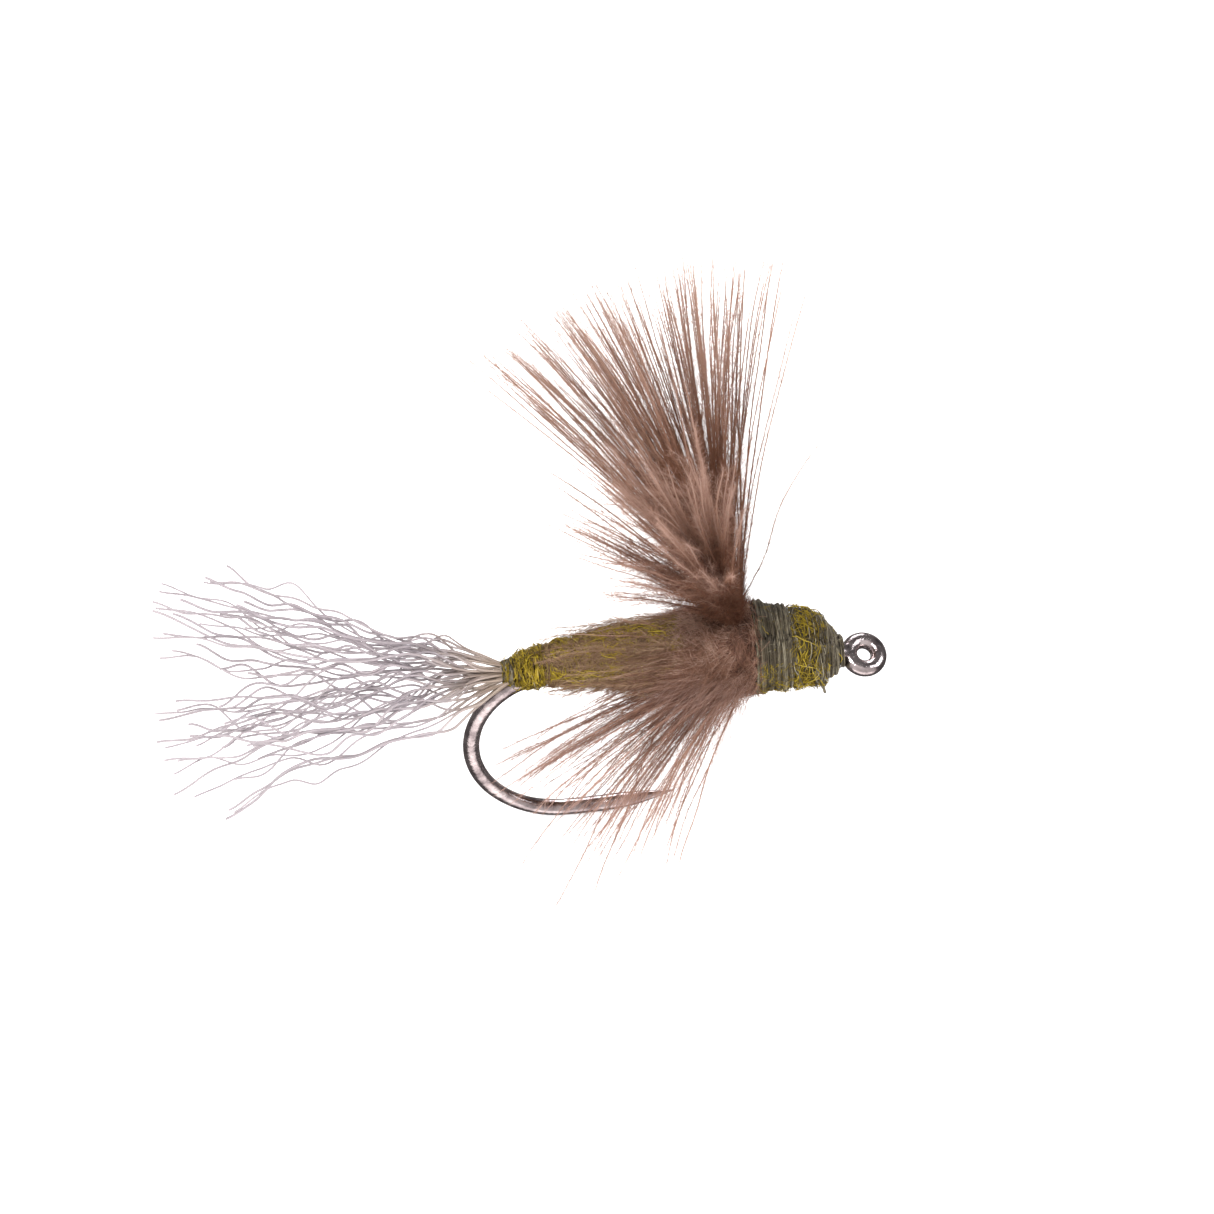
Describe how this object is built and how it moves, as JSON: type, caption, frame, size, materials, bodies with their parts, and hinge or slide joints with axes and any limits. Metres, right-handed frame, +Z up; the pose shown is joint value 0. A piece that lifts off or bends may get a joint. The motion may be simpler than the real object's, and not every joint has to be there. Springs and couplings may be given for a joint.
{
  "type": "dry fly",
  "caption": "Dry fly on a round-bend hook: trailing fibre shuck, tapered dubbed abdomen, downy feather collar and legs, upright fan wing, dubbed thorax and a cemented thread head.",
  "frame": {"origin": "on the surface the fly stands on, midway between the hook eye and the tip of the shuck and midway across the wing", "axes": "+X along the hook shank towards the eye, +Z up through the wing, the hook's bend in the XZ plane"},
  "size_m": [0.0191, 0.0138, 0.0155],
  "materials": {
    "hook_steel": "polished",
    "thread": "satin",
    "bright_dubbing": "matte",
    "olive_dubbing": "matte",
    "feather_down": "matte",
    "feather_quill": "satin",
    "shuck_yarn": "satin",
    "head_cement": "gloss"
  },
  "bodies": {
    "hook_and_body": {"hook": "hook_steel", "thread_base": "thread", "shuck_butts": "shuck_yarn", "wing_butts": "feather_quill", "tail_wraps": "thread", "tail_dubbing": "bright_dubbing", "abdomen_dubbing": "olive_dubbing", "hackle_quill": "feather_quill", "feather_collar": "feather_down", "legs_near": "feather_down", "legs_far": "feather_down", "veil_near": "feather_down", "veil_far": "feather_down", "thorax_wraps": "thread", "thorax_dubbing": "bright_dubbing", "head_wraps": "thread", "whip_finish": "thread", "head_cement": "head_cement", "thread_tag": "thread"},
    "wing": {"wing_feather_near": "feather_down", "wing_feather_far": "feather_down"},
    "shuck": {"shuck_lock_top": "shuck_yarn", "shuck_lock_far": "shuck_yarn", "shuck_lock_near": "shuck_yarn", "shuck_lock_middle": "shuck_yarn", "shuck_lock_bottom": "shuck_yarn"}
  },
  "joints": [
    {"name": "wing_flex", "type": "hinge", "parent": "hook_and_body", "child": "wing", "pos_m": [0.00581, 0, 0.00636], "axis": [0, -1, 0], "range_deg": [-15, 35], "stiffness_Nm_per_rad": 0.000001},
    {"name": "shuck_flex", "type": "hinge", "parent": "hook_and_body", "child": "shuck", "pos_m": [-0.00059, 0, 0.00515], "axis": [0, 1, 0], "range_deg": [-15, 25], "stiffness_Nm_per_rad": 0.000001}
  ]
}
